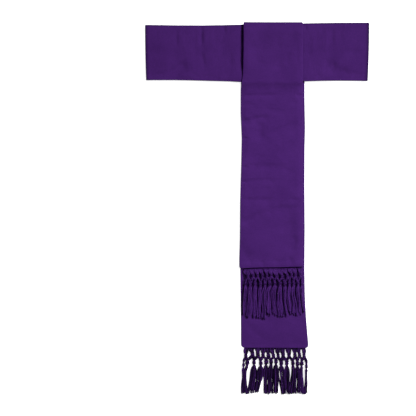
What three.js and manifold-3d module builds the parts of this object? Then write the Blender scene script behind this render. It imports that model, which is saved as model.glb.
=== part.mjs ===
// A cincture laid out flat: a waistband closed into a loop, and a fringed strip hung over it.
// Millimetres. +X runs along the waistband, +Y towards its upper edge and +Z up off the surface.
// The origin is on that surface, under the middle of the place where the strip crosses the band.
import * as THREE from "three";
import Module from "manifold-3d";
import { mergeVertices } from "three/addons/utils/BufferGeometryUtils.js";

const cloth = 1.5;        // wall of one layer of made-up cloth
const seam = 0.3;         // gap left between layers and at seams
const layer = cloth + seam;

const bandLeft = -289.8;  // folded end of the waistband on the left
const bandRight = 216.8;  // folded end on the right
const bandColumns = 5;    // sections across the band's width

const foldTop = 69;       // highest reach of the strip where it folds over the band
const foldHeight = 9.2;   // how far the fold's upper side stands above its lower side
const foldPeak = 3.2;     // extra height of the fold at its left end
const seamBehind = 40;    // where the two falls meet, hidden behind the band
const stepStart = -67.5;  // where the front fall leaves the band's lower edge
const stepEnd = -84;      // where it has come down onto the rear fall
const frontHem = { left: -489.2, right: -484.7, from: -71.4, to: 63.4 };
const rearHem = { left: -668.2, right: -668.9, from: -64.4, to: 73.2 };
const edgeLift = 5;       // how far the front fall's left edge stands off the band
const tailColumns = 8;    // sections across each fall

const headingTall = 3.4;  // woven heading strip of a fringe
const knotRow1 = { across: 3.3, along: 4.2, high: 2.9 };
const knotRow2 = { across: 3.7, along: 4.5, high: 3.2 };
const cordWide = 3.6;     // knotted cords of the lattice
const cordThick = 2.4;
const strandWide = 2.2;   // one lock of a tassel
const strandPitch = 2.7;
const lockFloor = 0.95;   // height of a tassel's lower locks, just clear of what they lie on
const lockRise = 2.2;     // height between its lower and upper locks

// The waistband's edges at stations along it.
const bandEdges = [
  { x: -290, upper: 63.0, lower: -61.5 },
  { x: -225, upper: 62.0, lower: -61.5 },
  { x: -188, upper: 61.8, lower: -62.2 },
  { x: -157, upper: 61.8, lower: -63.0 },
  { x: -102, upper: 62.6, lower: -64.4 },
  { x: -75, upper: 63.3, lower: -66.0 },
  { x: 0, upper: 63.6, lower: -66.0 },
  { x: 36, upper: 64.4, lower: -65.6 },
  { x: 72, upper: 66.2, lower: -64.5 },
  { x: 111, upper: 67.0, lower: -63.2 },
  { x: 152, upper: 67.6, lower: -62.8 },
  { x: 217, upper: 68.0, lower: -63.3 },
];

// The waistband's course as one strip: how many layers lie under it at each station, and how
// far its edges are drawn in behind the layer above. The rows marked fold turn back on themselves.
const bandCourse = [
  { x: 18, under: 1, inset: 3 },
  { x: -75, under: 1, inset: 3 },
  { x: -90, under: 0, inset: 3 },
  { x: -200, under: 0, inset: 2 },
  { x: bandLeft + 8, under: 0, inset: 0 },
  { x: bandLeft, fold: -1 },
  { x: bandLeft + 8, under: 1, inset: 0, front: true },
  { x: -90, under: 1, inset: 0, front: true },
  { x: -75, under: 2, inset: 0, front: true },
  { x: -44, under: 2, inset: 0, front: true },
  { x: -32, under: 3, inset: 0, front: true },
  { x: 20, under: 3, inset: 0, front: true },
  { x: 34, under: 2, inset: 0, front: true },
  { x: 73, under: 2, inset: 0, front: true },
  { x: 88, under: 1, inset: 0, front: true },
  { x: bandRight - 8, under: 1, inset: 0, front: true },
  { x: bandRight, fold: 1 },
  { x: bandRight - 8, under: 0, inset: 0 },
  { x: 150, under: 0, inset: 2 },
  { x: 88, under: 0, inset: 3 },
  { x: 73, under: 1, inset: 3 },
  { x: 34, under: 1, inset: 3 },
  { x: 20, under: 2, inset: 3 },
  { x: -30, under: 2, inset: 3 },
];

// Soft swells of the waistband's front layer, with creases left between them.
const bandSwells = [
  { x: -262, y: 4, rise: 1.5, wide: 22, long: 44 },
  { x: -238, y: -18, rise: 1.1, wide: 12, long: 34 },
  { x: -196, y: 12, rise: 1.8, wide: 22, long: 40 },
  { x: -190, y: -34, rise: 0.9, wide: 18, long: 20 },
  { x: -138, y: 6, rise: 1.6, wide: 20, long: 42 },
  { x: 112, y: 10, rise: 1.3, wide: 16, long: 42 },
  { x: 160, y: -6, rise: 1.8, wide: 24, long: 44 },
  { x: 198, y: 22, rise: 0.9, wide: 9, long: 30 },
];

// Edges of the front fall, from its fold down to its hem.
const frontEdges = [
  { y: 69, left: -66.6, right: 66.2 },
  { y: 60, left: -67.0, right: 67.0 },
  { y: 7, left: -67.3, right: 66.7 },
  { y: -39, left: -68.3, right: 66.5 },
  { y: -57, left: -69.7, right: 66.5 },
  { y: -72, left: -72.4, right: 66.6 },
  { y: -84, left: -73.2, right: 66.8 },
  { y: -138, left: -73.3, right: 66.9 },
  { y: -195, left: -70.9, right: 66.6 },
  { y: -256, left: -72.2, right: 66.4 },
  { y: -338, left: -74.5, right: 66.6 },
  { y: -420, left: -75.1, right: 66.8 },
  { y: -466, left: -76.4, right: 66.7 },
  { y: -490, left: -76.4, right: 66.4 },
];

// Edges of the rear fall, from behind the band down to its hem.
const rearEdges = [
  { y: 60, left: -67.0, right: 67.0 },
  { y: -20, left: -69.5, right: 69.0 },
  { y: -66, left: -72.8, right: 70.8 },
  { y: -100, left: -71.5, right: 70.8 },
  { y: -170, left: -70.0, right: 72.0 },
  { y: -216, left: -70.0, right: 71.0 },
  { y: -300, left: -71.0, right: 70.6 },
  { y: -400, left: -71.8, right: 71.3 },
  { y: -493, left: -74.0, right: 70.6 },
  { y: -554, left: -73.3, right: 71.7 },
  { y: -600, left: -72.7, right: 74.2 },
  { y: -634, left: -72.5, right: 77.0 },
  { y: -658, left: -72.4, right: 79.0 },
  { y: -669, left: -72.4, right: 79.2 },
];

// Soft swells of the front fall where it lies on the rear one.
const frontSwells = [
  { x: -30, y: -112, rise: 0.9, wide: 34, long: 13 },
  { x: 44, y: -128, rise: 1.2, wide: 22, long: 26 },
  { x: -48, y: -190, rise: 1.3, wide: 20, long: 50 },
  { x: 22, y: -236, rise: 1.5, wide: 26, long: 60 },
  { x: -30, y: -318, rise: 1.2, wide: 24, long: 54 },
  { x: 42, y: -362, rise: 1.1, wide: 20, long: 44 },
  { x: -18, y: -430, rise: 1.0, wide: 30, long: 36 },
];

// Soft swells of the rear fall below the front fringe.
const rearSwells = [
  { x: -26, y: -640, rise: 0.9, wide: 26, long: 16 },
  { x: 48, y: -634, rise: 1.1, wide: 20, long: 18 },
];

// The first row of knots: the distance of each along its heading.
const frontRow1 = [-57, -45.6, -35.2, -24.5, -14.5, -4.5, 7, 20.4, 32.7, 41.5, 50.4, 60.8];
const rearRow1 = [-61.7, -46.8, -34.5, -22.7, -10.4, 0.9, 11.6, 22.9, 36.3, 49.7, 59.7, 70.4];

// The tassels under the second row of knots: where each knot and foot lies, and how far
// each is below the hem.
const frontTassels = [
  { knot: -63.2, drop: 36.5, foot: -65.6, end: 100, locks: 4 },
  { knot: -52.2, drop: 37.5, foot: -54.2, end: 107, locks: 6 },
  { knot: -40.9, drop: 36.5, foot: -42.6, end: 109, locks: 6 },
  { knot: -29.2, drop: 38.0, foot: -31.2, end: 111, locks: 6 },
  { knot: -18.8, drop: 38.5, foot: -20.6, end: 112, locks: 6 },
  { knot: -8.2, drop: 37.0, foot: -9.6, end: 104, locks: 6 },
  { knot: 3.6, drop: 37.5, foot: 3.2, end: 105, locks: 6 },
  { knot: 15.6, drop: 36.5, foot: 18.6, end: 108, locks: 6 },
  { knot: 26.6, drop: 37.5, foot: 29.2, end: 108, locks: 6 },
  { knot: 36.8, drop: 37.0, foot: 39.4, end: 104, locks: 6 },
  { knot: 46.4, drop: 38.0, foot: 49.8, end: 106, locks: 6 },
  { knot: 56.4, drop: 37.0, foot: 60.6, end: 106, locks: 6 },
  { knot: 64.6, drop: 40.5, foot: 70.0, end: 101, locks: 4 },
];
const rearTassels = [
  { knot: -66.9, drop: 39.5, foot: -69.4, end: 103, locks: 4 },
  { knot: -56.8, drop: 34.5, foot: -61.6, end: 104, locks: 6 },
  { knot: -43.1, drop: 34.0, foot: -49.9, end: 103, locks: 6 },
  { knot: -27.9, drop: 35.5, foot: -35.4, end: 102, locks: 6 },
  { knot: -15.4, drop: 36.0, foot: -18.0, end: 103, locks: 6 },
  { knot: -4.6, drop: 35.0, foot: -8.4, end: 104, locks: 6 },
  { knot: 6.6, drop: 34.5, foot: 5.2, end: 101, locks: 6 },
  { knot: 18.6, drop: 34.5, foot: 22.2, end: 104, locks: 6 },
  { knot: 31.1, drop: 34.0, foot: 32.9, end: 103, locks: 6 },
  { knot: 44.9, drop: 35.0, foot: 47.0, end: 103, locks: 6 },
  { knot: 55.2, drop: 36.5, foot: 57.2, end: 102, locks: 6 },
  { knot: 64.6, drop: 36.0, foot: 68.2, end: 104, locks: 6 },
  { knot: 75.6, drop: 44.0, foot: 77.6, end: 105, locks: 4 },
];

const wasm = await Module();
wasm.setup();

function lerp(a, b, t) {
  return a + (b - a) * t;
}

function ease(t) {
  const c = Math.min(Math.max(t, 0), 1);
  return c * c * (3 - 2 * c);
}

// The value of a table's column at a place along its key column, whichever way that runs.
function along(table, key, column, place) {
  const rising = table[1][key] > table[0][key];
  const rows = rising ? table : [...table].reverse();
  const next = rows.findIndex((row) => row[key] >= place);
  if (next < 0) {
    return rows[rows.length - 1][column];
  }
  if (next === 0) {
    return rows[0][column];
  }
  const a = rows[next - 1];
  const b = rows[next];
  return lerp(a[column], b[column], (place - a[key]) / (b[key] - a[key]));
}

function swell(rows, x, y) {
  let height = 0;
  for (const row of rows) {
    height += row.rise * Math.exp(-(((x - row.x) / row.wide) ** 2) - ((y - row.y) / row.long) ** 2);
  }
  return height;
}

// A repeatable unevenness between -1 and 1.
function uneven(n) {
  const s = Math.sin(n * 12.9898) * 43758.5453;
  return (s - Math.floor(s)) * 2 - 1;
}

// A closed solid through rings of points that all have the same count. Each end is closed by
// pairing a ring's points from its two ends, which suits both a thin wall and a cord.
function loft(rings) {
  const n = rings[0].length;
  const positions = rings.flat().flatMap((p) => [p.x, p.y, p.z]);
  const index = [];
  for (let r = 0; r < rings.length - 1; r += 1) {
    for (let i = 0; i < n; i += 1) {
      const a = r * n + i;
      const b = r * n + ((i + 1) % n);
      index.push(a, b, b + n, a, b + n, a + n);
    }
  }
  const last = (rings.length - 1) * n;
  for (let i = 0; i < Math.floor(n / 2); i += 1) {
    const [a, b, c, d] = [i, i + 1, n - 2 - i, n - 1 - i];
    if (b < c) {
      index.push(a, c, b, a, d, c);
      index.push(last + a, last + b, last + c, last + a, last + c, last + d);
    } else if (b === c) {
      index.push(a, d, b);
      index.push(last + a, last + b, last + d);
    }
  }
  const geometry = new THREE.BufferGeometry();
  geometry.setAttribute("position", new THREE.Float32BufferAttribute(positions, 3));
  geometry.setIndex(index);
  return facingOut(geometry);
}

// The same solid with its faces pointing out, whichever way its rings ran.
function facingOut(geometry) {
  const at = geometry.attributes.position;
  const index = geometry.index.array;
  const [a, b, c] = [new THREE.Vector3(), new THREE.Vector3(), new THREE.Vector3()];
  let volume = 0;
  for (let i = 0; i < index.length; i += 3) {
    a.fromBufferAttribute(at, index[i]);
    b.fromBufferAttribute(at, index[i + 1]);
    c.fromBufferAttribute(at, index[i + 2]);
    volume += a.dot(b.cross(c));
  }
  if (volume < 0) {
    geometry.setIndex([...index].reverse());
  }
  return geometry;
}

// Both faces of a wall from its middle surface: a grid of points with a row for each ring.
function wall(grid) {
  return loft(grid.map((row, r) => {
    const before = grid[Math.max(r - 1, 0)];
    const after = grid[Math.min(r + 1, grid.length - 1)];
    const outer = [];
    const inner = [];
    row.forEach((p, i) => {
      const run = after[i].clone().sub(before[i]);
      const side = row[Math.min(i + 1, row.length - 1)].clone().sub(row[Math.max(i - 1, 0)]);
      side.z = 0;
      const half = run.cross(side).normalize().multiplyScalar(cloth / 2);
      outer.push(p.clone().add(half));
      inner.unshift(p.clone().sub(half));
    });
    return [...outer, ...inner];
  }));
}

// Stations of the waistband between two rows of its course.
function courseBetween(a, b) {
  const reach = Math.abs(b.x - a.x);
  const steps = a.under !== b.under ? 4 : Math.ceil(reach / (a.front ? 15 : 60));
  return Array.from({ length: steps }, (_, i) => {
    const t = i / steps;
    const under = lerp(a.under, b.under, ease(t));
    return {
      x: lerp(a.x, b.x, t),
      z: cloth / 2 + layer * under,
      inset: lerp(a.inset, b.inset, t),
      front: Boolean(a.front),
    };
  });
}

// Stations round one folded end of the waistband.
function endFold(row) {
  const steps = 6;
  const centre = row.x - row.fold * (cloth + seam / 2);
  const up = row.fold < 0 ? 1 : -1;
  return Array.from({ length: steps + 1 }, (_, i) => {
    const turn = (Math.PI * i) / steps;
    return {
      x: centre + (row.fold * layer / 2) * Math.sin(turn),
      z: cloth + seam / 2 - (up * layer / 2) * Math.cos(turn),
      inset: 0,
      front: false,
    };
  });
}

function waistbandStations() {
  const stations = [];
  for (let i = 0; i < bandCourse.length - 1; i += 1) {
    const a = bandCourse[i];
    const b = bandCourse[i + 1];
    if (a.fold) {
      stations.push(...endFold(a));
    } else if (b.fold) {
      const level = cloth / 2 + layer * a.under;
      stations.push({ x: a.x, z: level, inset: a.inset, front: Boolean(a.front) });
    } else {
      stations.push(...courseBetween(a, b));
    }
  }
  const end = bandCourse[bandCourse.length - 1];
  stations.push({ x: end.x, z: cloth / 2 + layer * end.under, inset: end.inset, front: false });
  return stations;
}

// The folded ends lean in a little towards the band's lower edge.
function bandLean(x, y) {
  const low = ((68 - y) / 131) ** 2;
  return x < 0 ? 2.4 * low * ease((-x - 120) / 170) : -3.2 * low * ease((x - 110) / 107);
}

function waistband() {
  return wall(waistbandStations().map((station) => {
    const upper = along(bandEdges, "x", "upper", station.x) - station.inset;
    const lower = along(bandEdges, "x", "lower", station.x) + station.inset;
    return Array.from({ length: bandColumns + 1 }, (_, j) => {
      const y = lerp(lower, upper, j / bandColumns);
      const rise = station.front ? swell(bandSwells, station.x, y) : 0;
      return new THREE.Vector3(station.x + bandLean(station.x, y), y, station.z + rise);
    });
  }));
}

// How far the front fall's left edge stands off the band near the fold.
function leftLift(x, y) {
  return edgeLift * ease((-24 - x) / 43) * ease((y + 62) / 52);
}

// Rounds the corners of a hem by drawing its edges in over the last few millimetres.
function cornerDraw(away, radius) {
  if (away >= radius) {
    return 0;
  }
  return radius - Math.sqrt(radius ** 2 - (radius - away) ** 2);
}

// The front fall's course at a distance across it: up behind the band, over it and down.
function frontCourse(across) {
  const x = lerp(-67, 67, across);
  const hem = lerp(frontHem.left, frontHem.right, across);
  const onBand = cloth / 2 + 4 * layer;
  const radius = (foldHeight + foldPeak * ease((-10 - x) / 50)) / 2;
  const centre = foldTop - cloth / 2 - radius;
  const course = [{ y: seamBehind, z: cloth / 2 }, { y: (seamBehind + centre) / 2, z: cloth / 2 }];
  for (let i = 0; i <= 8; i += 1) {
    const turn = (Math.PI * i) / 8;
    const z = cloth / 2 + radius * (1 - Math.cos(turn));
    course.push({ y: centre + radius * Math.sin(turn), z });
  }
  const settle = cloth / 2 + 2 * radius - onBand;
  for (let i = 1; i <= 11; i += 1) {
    const y = lerp(centre, stepStart, i / 11);
    const slack = settle * (1 - ease((centre - y) / 34));
    const lift = leftLift(x, y) * ease((centre - y) / 34);
    course.push({ y, z: onBand + slack + lift });
  }
  for (let i = 1; i <= 5; i += 1) {
    const y = lerp(stepStart, stepEnd, i / 5);
    course.push({ y, z: lerp(onBand, cloth / 2 + layer, ease(i / 5)) });
  }
  for (const t of hemStations(24)) {
    const y = lerp(stepEnd, hem, t);
    const rise = swell(frontSwells, x, y) * ease((stepEnd - y) / 20);
    course.push({ y, z: cloth / 2 + layer + rise });
  }
  return course;
}

// Even stations down a fall, closer together at its hem where the corners are rounded.
function hemStations(count) {
  const even = Array.from({ length: count }, (_, i) => (0.975 * (i + 1)) / count);
  return [...even, 0.985, 0.992, 0.997, 1];
}

function frontTail() {
  const courses = Array.from({ length: tailColumns + 1 }, (_, j) => frontCourse(j / tailColumns));
  return wall(courses[0].map((_, r) => courses.map((course, j) => {
    const { y, z } = course[r];
    const across = j / tailColumns;
    const away = y - lerp(frontHem.left, frontHem.right, across);
    const left = along(frontEdges, "y", "left", y) + cornerDraw(away, 5);
    const right = along(frontEdges, "y", "right", y) - cornerDraw(away, 3);
    return new THREE.Vector3(lerp(left, right, across), y, z);
  })));
}

function rearTail() {
  const rows = [0, ...hemStations(18)];
  return wall(rows.map((t) => Array.from({ length: tailColumns + 1 }, (_, j) => {
    const across = j / tailColumns;
    const hem = lerp(rearHem.left, rearHem.right, across);
    const y = lerp(seamBehind - seam, hem, t);
    const left = along(rearEdges, "y", "left", y) + cornerDraw(y - hem, 8);
    const right = along(rearEdges, "y", "right", y) - cornerDraw(y - hem, 6);
    const x = lerp(left, right, across);
    return new THREE.Vector3(x, y, cloth / 2 + swell(rearSwells, x, y));
  })));
}

// A cord or lock through a few points, with the same section square to its run at each.
function cord(points, wide, thick, sides) {
  return loft(points.map((p, i) => {
    const run = points[Math.min(i + 1, points.length - 1)].clone();
    run.sub(points[Math.max(i - 1, 0)]).normalize();
    const side = new THREE.Vector3(0, 0, 1).cross(run).normalize();
    const up = run.clone().cross(side);
    return Array.from({ length: sides }, (_, k) => {
      const turn = (2 * Math.PI * (k + 0.5)) / sides - Math.PI / 2;
      const point = p.clone().addScaledVector(side, (wide / 2) * Math.cos(turn) * 1.15);
      return point.addScaledVector(up, (thick / 2) * Math.sin(turn) * 1.15);
    });
  }));
}

function knot(x, y, z, size, turn) {
  const geometry = new THREE.IcosahedronGeometry(1, 0);
  geometry.deleteAttribute("normal");
  geometry.deleteAttribute("uv");
  geometry.scale(size.across, size.along, size.high);
  geometry.rotateZ(turn);
  geometry.translate(x, y, z);
  return mergeVertices(geometry, 1e-4);
}

// A plain strip that follows the hem and carries the fringe.
function heading(fringe) {
  const ends = [fringe.left, fringe.right];
  return loft(ends.map((x) => {
    const top = hemAt(fringe, x) - seam;
    const low = fringe.floor;
    return [
      new THREE.Vector3(x, top, low),
      new THREE.Vector3(x, top, low + cloth),
      new THREE.Vector3(x, top - headingTall, low + cloth),
      new THREE.Vector3(x, top - headingTall, low),
    ];
  }));
}

function hemAt(fringe, x) {
  const { left, right, from, to } = fringe.hem;
  return lerp(left, right, (x - from) / (to - from));
}

function row1Place(fringe, k) {
  const x = fringe.row1[k];
  return new THREE.Vector3(x, hemAt(fringe, x) - fringe.drop1 + 0.8 * uneven(k + fringe.seed),
    fringe.floor + 3.5);
}

function row2Place(fringe, k) {
  const { knot: x, drop } = fringe.tassels[k];
  return new THREE.Vector3(x, hemAt(fringe, x) - drop, fringe.floor + 3.7);
}

// A place on the way from one point to another, short of it by a distance.
function shortOf(from, to, distance) {
  return to.clone().add(from.clone().sub(to).setLength(distance));
}

// Two cords from the heading to each knot of the first row, wide apart at their roots.
function roots(fringe) {
  return fringe.row1.flatMap((x, k) => [-1, 1].map((side) => {
    const to = row1Place(fringe, k);
    const nearest = fringe.row1[k + side] ?? (side < 0 ? 2 * fringe.left - x : 2 * fringe.right - x);
    const rootX = THREE.MathUtils.clamp(lerp(x, nearest, 0.28), fringe.left + 2, fringe.right - 2);
    const from = new THREE.Vector3(rootX, hemAt(fringe, rootX) - seam - 1.6, fringe.floor + 1.3);
    return cord([from, shortOf(from, to, knotRow1.across * 0.7)], cordWide, cordThick, 4);
  }));
}

// From each knot of the first row one cord goes down to the left and one to the right.
function diagonals(fringe) {
  return fringe.row1.flatMap((_, k) => [0, 1].map((side) => {
    const a = row1Place(fringe, k);
    const b = row2Place(fringe, k + side);
    const ends = [shortOf(b, a, knotRow1.across * 0.7), shortOf(a, b, knotRow2.across * 0.7)];
    return cord(ends, cordWide, cordThick, 4);
  }));
}

function knots(fringe) {
  const first = fringe.row1.map((_, k) => {
    const p = row1Place(fringe, k);
    return knot(p.x, p.y, p.z, knotRow1, 0.3 * uneven(k + 7));
  });
  const second = fringe.tassels.map((_, k) => {
    const p = row2Place(fringe, k);
    return knot(p.x, p.y, p.z, knotRow2, 0.35 * uneven(k + 31));
  });
  return [...first, ...second];
}

// The locks of one tassel: a lower row and an upper row that fan out from the knot.
function tasselLocks(fringe, k) {
  const tassel = fringe.tassels[k];
  const start = row2Place(fringe, k);
  const perRow = tassel.locks / 2;
  return Array.from({ length: tassel.locks }, (_, n) => {
    const upper = n >= perRow;
    const spot = (n % perRow) - (perRow - 1) / 2;
    const offset = strandPitch * spot * (upper ? 0.92 : 1);
    const shake = uneven(fringe.seed + 17 * k + n);
    const footY = hemAt(fringe, tassel.foot) - tassel.end + 2.6 * shake;
    const level = fringe.floor + lockFloor + (upper ? lockRise : 0);
    const at = (t, z) => new THREE.Vector3(
      lerp(start.x, tassel.foot, ease(t * 0.9 + 0.05)) + offset * lerp(0.88, 1, t),
      lerp(start.y, footY, t),
      z,
    );
    const course = [at(0.01, lerp(level, start.z, 0.45)), at(0.4, level), at(1, level)];
    return cord(course, strandWide, strandWide, 3);
  });
}

function solid(geometry) {
  const vertProperties = new Float32Array(geometry.attributes.position.array);
  const triVerts = new Uint32Array(geometry.index.array);
  return new wasm.Manifold(new wasm.Mesh({ numProp: 3, vertProperties, triVerts }));
}

// Joins the pieces of a fringe into one solid.
function fuse(geometries) {
  const mesh = wasm.Manifold.union(geometries.map(solid)).getMesh();
  const geometry = new THREE.BufferGeometry();
  geometry.setAttribute("position", new THREE.Float32BufferAttribute(mesh.vertProperties, 3));
  geometry.setIndex([...mesh.triVerts]);
  return geometry;
}

function fringeSolid(fringe) {
  const locks = fringe.tassels.flatMap((_, k) => tasselLocks(fringe, k));
  return fuse([heading(fringe), ...roots(fringe), ...diagonals(fringe), ...knots(fringe), ...locks]);
}

const frontFringe = {
  hem: frontHem,
  left: -68,
  right: 66,
  floor: layer,
  drop1: 19.6,
  row1: frontRow1,
  tassels: frontTassels,
  seed: 3,
};
const rearFringe = {
  hem: rearHem,
  left: -65.6,
  right: 74,
  floor: 0,
  drop1: 16.4,
  row1: rearRow1,
  tassels: rearTassels,
  seed: 91,
};

const purple = new THREE.MeshStandardMaterial({ color: 0x452367, roughness: 0.82, metalness: 0 });
const thread = new THREE.MeshStandardMaterial({ color: 0x3f205f, roughness: 0.6, metalness: 0 });

function named(name, geometry, material) {
  const mesh = new THREE.Mesh(geometry, material);
  mesh.name = name;
  return mesh;
}

const cincture = new THREE.Group();
cincture.add(named("waistband", waistband(), purple));
cincture.add(named("front_tail", frontTail(), purple));
cincture.add(named("rear_tail", rearTail(), purple));
cincture.add(named("front_fringe", fringeSolid(frontFringe), thread));
cincture.add(named("rear_fringe", fringeSolid(rearFringe), thread));

export default cincture;
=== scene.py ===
import math
import random

import bmesh
import bpy
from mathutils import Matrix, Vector, noise


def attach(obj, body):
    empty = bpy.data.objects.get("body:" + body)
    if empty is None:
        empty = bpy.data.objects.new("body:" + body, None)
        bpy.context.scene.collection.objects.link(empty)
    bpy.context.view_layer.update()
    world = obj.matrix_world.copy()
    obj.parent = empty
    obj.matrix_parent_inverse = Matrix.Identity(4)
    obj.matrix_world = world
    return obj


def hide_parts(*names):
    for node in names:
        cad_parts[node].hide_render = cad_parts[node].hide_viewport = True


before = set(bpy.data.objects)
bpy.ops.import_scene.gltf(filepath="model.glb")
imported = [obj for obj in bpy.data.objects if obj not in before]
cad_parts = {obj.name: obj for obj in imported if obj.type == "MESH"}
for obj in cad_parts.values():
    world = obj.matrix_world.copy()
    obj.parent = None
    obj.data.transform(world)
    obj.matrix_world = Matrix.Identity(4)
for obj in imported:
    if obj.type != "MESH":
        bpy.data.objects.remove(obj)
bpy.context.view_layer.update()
print("frame loaded")

mm = 0.001
random.seed(11)

# The camera looks straight down on the laid-out cincture.
view = {
    "mmPerPixel": 2.27,
    "originAt": (273, 53),     # the pixel where the part's origin falls
    "pixels": 416,
    "height": 2.9,
    "sensor": 36,
}


def setCamera():
    pixel = view["mmPerPixel"] * mm
    middle = view["pixels"] / 2
    lookX = (middle - view["originAt"][0]) * pixel
    lookY = (view["originAt"][1] - middle) * pixel
    data = bpy.data.cameras.new("overheadCamera")
    data.sensor_width = view["sensor"]
    data.lens = view["sensor"] * view["height"] / (view["pixels"] * pixel)
    data.clip_end = 20
    camera = bpy.data.objects.new("overheadCamera", data)
    camera.location = (lookX, lookY, view["height"])
    bpy.context.scene.collection.objects.link(camera)
    bpy.context.scene.camera = camera


setCamera()
print("camera set")


def mix(a, b, t):
    return a + (b - a) * t


def ease(t):
    c = min(max(t, 0.0), 1.0)
    return c * c * (3 - 2 * c)


# The value of a table's column at a place along its key column.
def along(table, key, column, place):
    rows = sorted(table, key=lambda row: row[key])
    if place <= rows[0][key]:
        return rows[0][column]
    for a, b in zip(rows, rows[1:]):
        if place <= b[key]:
            return mix(a[column], b[column], (place - a[key]) / (b[key] - a[key]))
    return rows[-1][column]


# Soft swells stand up from a layer. Each has a middle, a rise and two reaches.
def swellAt(rows, x, y):
    return sum(
        rise * math.exp(-((x - cx) / wide) ** 2 - ((y - cy) / tall) ** 2)
        for cx, cy, rise, wide, tall in rows
    )


# Creases are soft troughs. Each has the middle of its steep wall, a turn from +X in degrees,
# a length, a width and a depth. The other wall is gentle, and a depth below zero makes a ridge.
def creaseAt(rows, x, y):
    total = 0.0
    for cx, cy, turn, length, width, depth in rows:
        c, s = math.cos(math.radians(turn)), math.sin(math.radians(turn))
        run = (x - cx) * c + (y - cy) * s
        side = (y - cy) * c - (x - cx) * s
        side += 0.0012 * run * run * math.sin(cx) - 1.06 * width
        reach = abs(run) / (length / 2)
        spread = 1.5 * width if side < 0 else 2.8 * width
        if reach < 1.4 and abs(side) < 3 * spread:
            fade = (1 - ease((reach - 0.4) / 0.9)) * (0.95 + 0.5 * ripple(run, cy, 16, 40.0))
            total += depth * math.exp(-(side / spread) ** 2) * fade
    return total


def ripple(x, y, size, seed):
    return noise.noise(Vector((x / size, y / size, seed)))


# Slight random unevenness. Each row has its rise, the size of its waves and its seed.
def rippleAt(rows, x, y):
    return sum(rise * ripple(x, y, size, seed) for rise, size, seed in rows)


# A number that varies over a surface. Sums and products of these add their own Math nodes.
class Signal:
    def __init__(self, finish, socket):
        self.finish = finish
        self.socket = socket

    def __add__(self, other):
        return self.finish.calculate("ADD", self, other)

    def __radd__(self, other):
        return self.finish.calculate("ADD", other, self)

    def __sub__(self, other):
        return self.finish.calculate("SUBTRACT", self, other)

    def __mul__(self, other):
        return self.finish.calculate("MULTIPLY", self, other)


class Finish:
    def __init__(self, name):
        self.material = bpy.data.materials.new(name)
        self.material.use_nodes = True
        self.tree = self.material.node_tree
        self.tree.nodes.clear()

    # Adds a node by its type: its settings are set first, then its sockets' values or links.
    def add(self, kind, settings=None, sockets=None, output=0):
        node = self.tree.nodes.new(kind)
        for name, value in (settings or {}).items():
            setattr(node, name, value)
        for name, value in (sockets or {}).items():
            if isinstance(value, Signal):
                self.tree.links.new(value.socket, node.inputs[name])
            else:
                node.inputs[name].default_value = value
        return Signal(self, node.outputs[output]) if node.outputs else node

    # The three parts of a vector.
    def split(self, place):
        node = self.add("ShaderNodeSeparateXYZ", {}, {0: place}).socket.node
        return [Signal(self, socket) for socket in node.outputs]

    def calculate(self, operation, first, second=0.0):
        return self.add("ShaderNodeMath", {"operation": operation}, {0: first, 1: second})

    def blend(self, factor, first, second):
        settings = {"data_type": "RGBA", "clamp_factor": True}
        return self.add("ShaderNodeMix", settings, {0: factor, 6: first, 7: second}, 2)

    def speckle(self, place, scale, detail=2.0, stretch=(1, 1, 1)):
        mapped = self.add("ShaderNodeMapping", {}, {"Vector": place, "Scale": stretch})
        sockets = {"Vector": mapped, "Scale": scale, "Detail": detail, "Roughness": 0.6}
        return self.add("ShaderNodeTexNoise", {}, sockets)

    def done(self, sockets):
        shader = self.add("ShaderNodeBsdfPrincipled", {}, sockets)
        self.add("ShaderNodeOutputMaterial", {}, {"Surface": shader})
        return self.material


clothLook = {
    "deep": (0.0374, 0.0075, 0.0928, 1),
    "fair": (0.0598, 0.0141, 0.1366, 1),
    # painted shade: this darker purple is laid on edges and folds that turn away from the light
    "pressed": (0.0210, 0.0040, 0.0560, 1),
    "pressDepth": 0.75,
    "yarn": 0.0008,        # spacing of the weave's yarns, in metres
    "roughness": 0.85,
    "sheen": 0.02,
}


# Close plain weave in dyed cloth, with slubs across it and a slight random unevenness of tone, and a
# painted shade blended in where the mask marks edges and folds.
def clothFinish(name):
    f = Finish(name)
    place = f.add("ShaderNodeUVMap", {"uv_map": "clothUv"})
    acrossCloth, downCloth, _ = f.split(place)
    warp = f.calculate("SINE", acrossCloth * (2 * math.pi / clothLook["yarn"]))
    weft = f.calculate("SINE", downCloth * (2 * math.pi / clothLook["yarn"]))
    weave = warp * weft
    slub = f.speckle(place, 1.0, 2.0, (60, 900, 1))
    shade = f.speckle(place, 22.0, 3.0)
    nap = f.speckle(place, 260.0, 2.0)
    tone = shade * 0.8 + nap * 0.75 + slub * 0.5 + weave * 0.16 - 0.52
    plain = f.blend(tone, clothLook["deep"], clothLook["fair"])
    # painted shade: the mask darkens edges and folds that turn away from the light
    press = f.add("ShaderNodeAttribute", {"attribute_name": "press"}, {}, "Fac")
    color = f.blend(press * clothLook["pressDepth"], plain, clothLook["pressed"])
    rough = clothLook["roughness"] + (nap - 0.5) * 0.16
    height = weave * 0.5 + slub * 0.8 + nap * 0.6
    bump = f.add("ShaderNodeBump", {}, {"Strength": 0.4, "Distance": 0.0003, "Height": height})
    return f.done({
        "Base Color": color,
        "Roughness": rough,
        "Normal": bump,
        "Specular IOR Level": 0.07,
        "Sheen Weight": clothLook["sheen"],
        "Sheen Roughness": 0.45,
        "Sheen Tint": (0.62, 0.45, 0.85, 1),
    })


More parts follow.
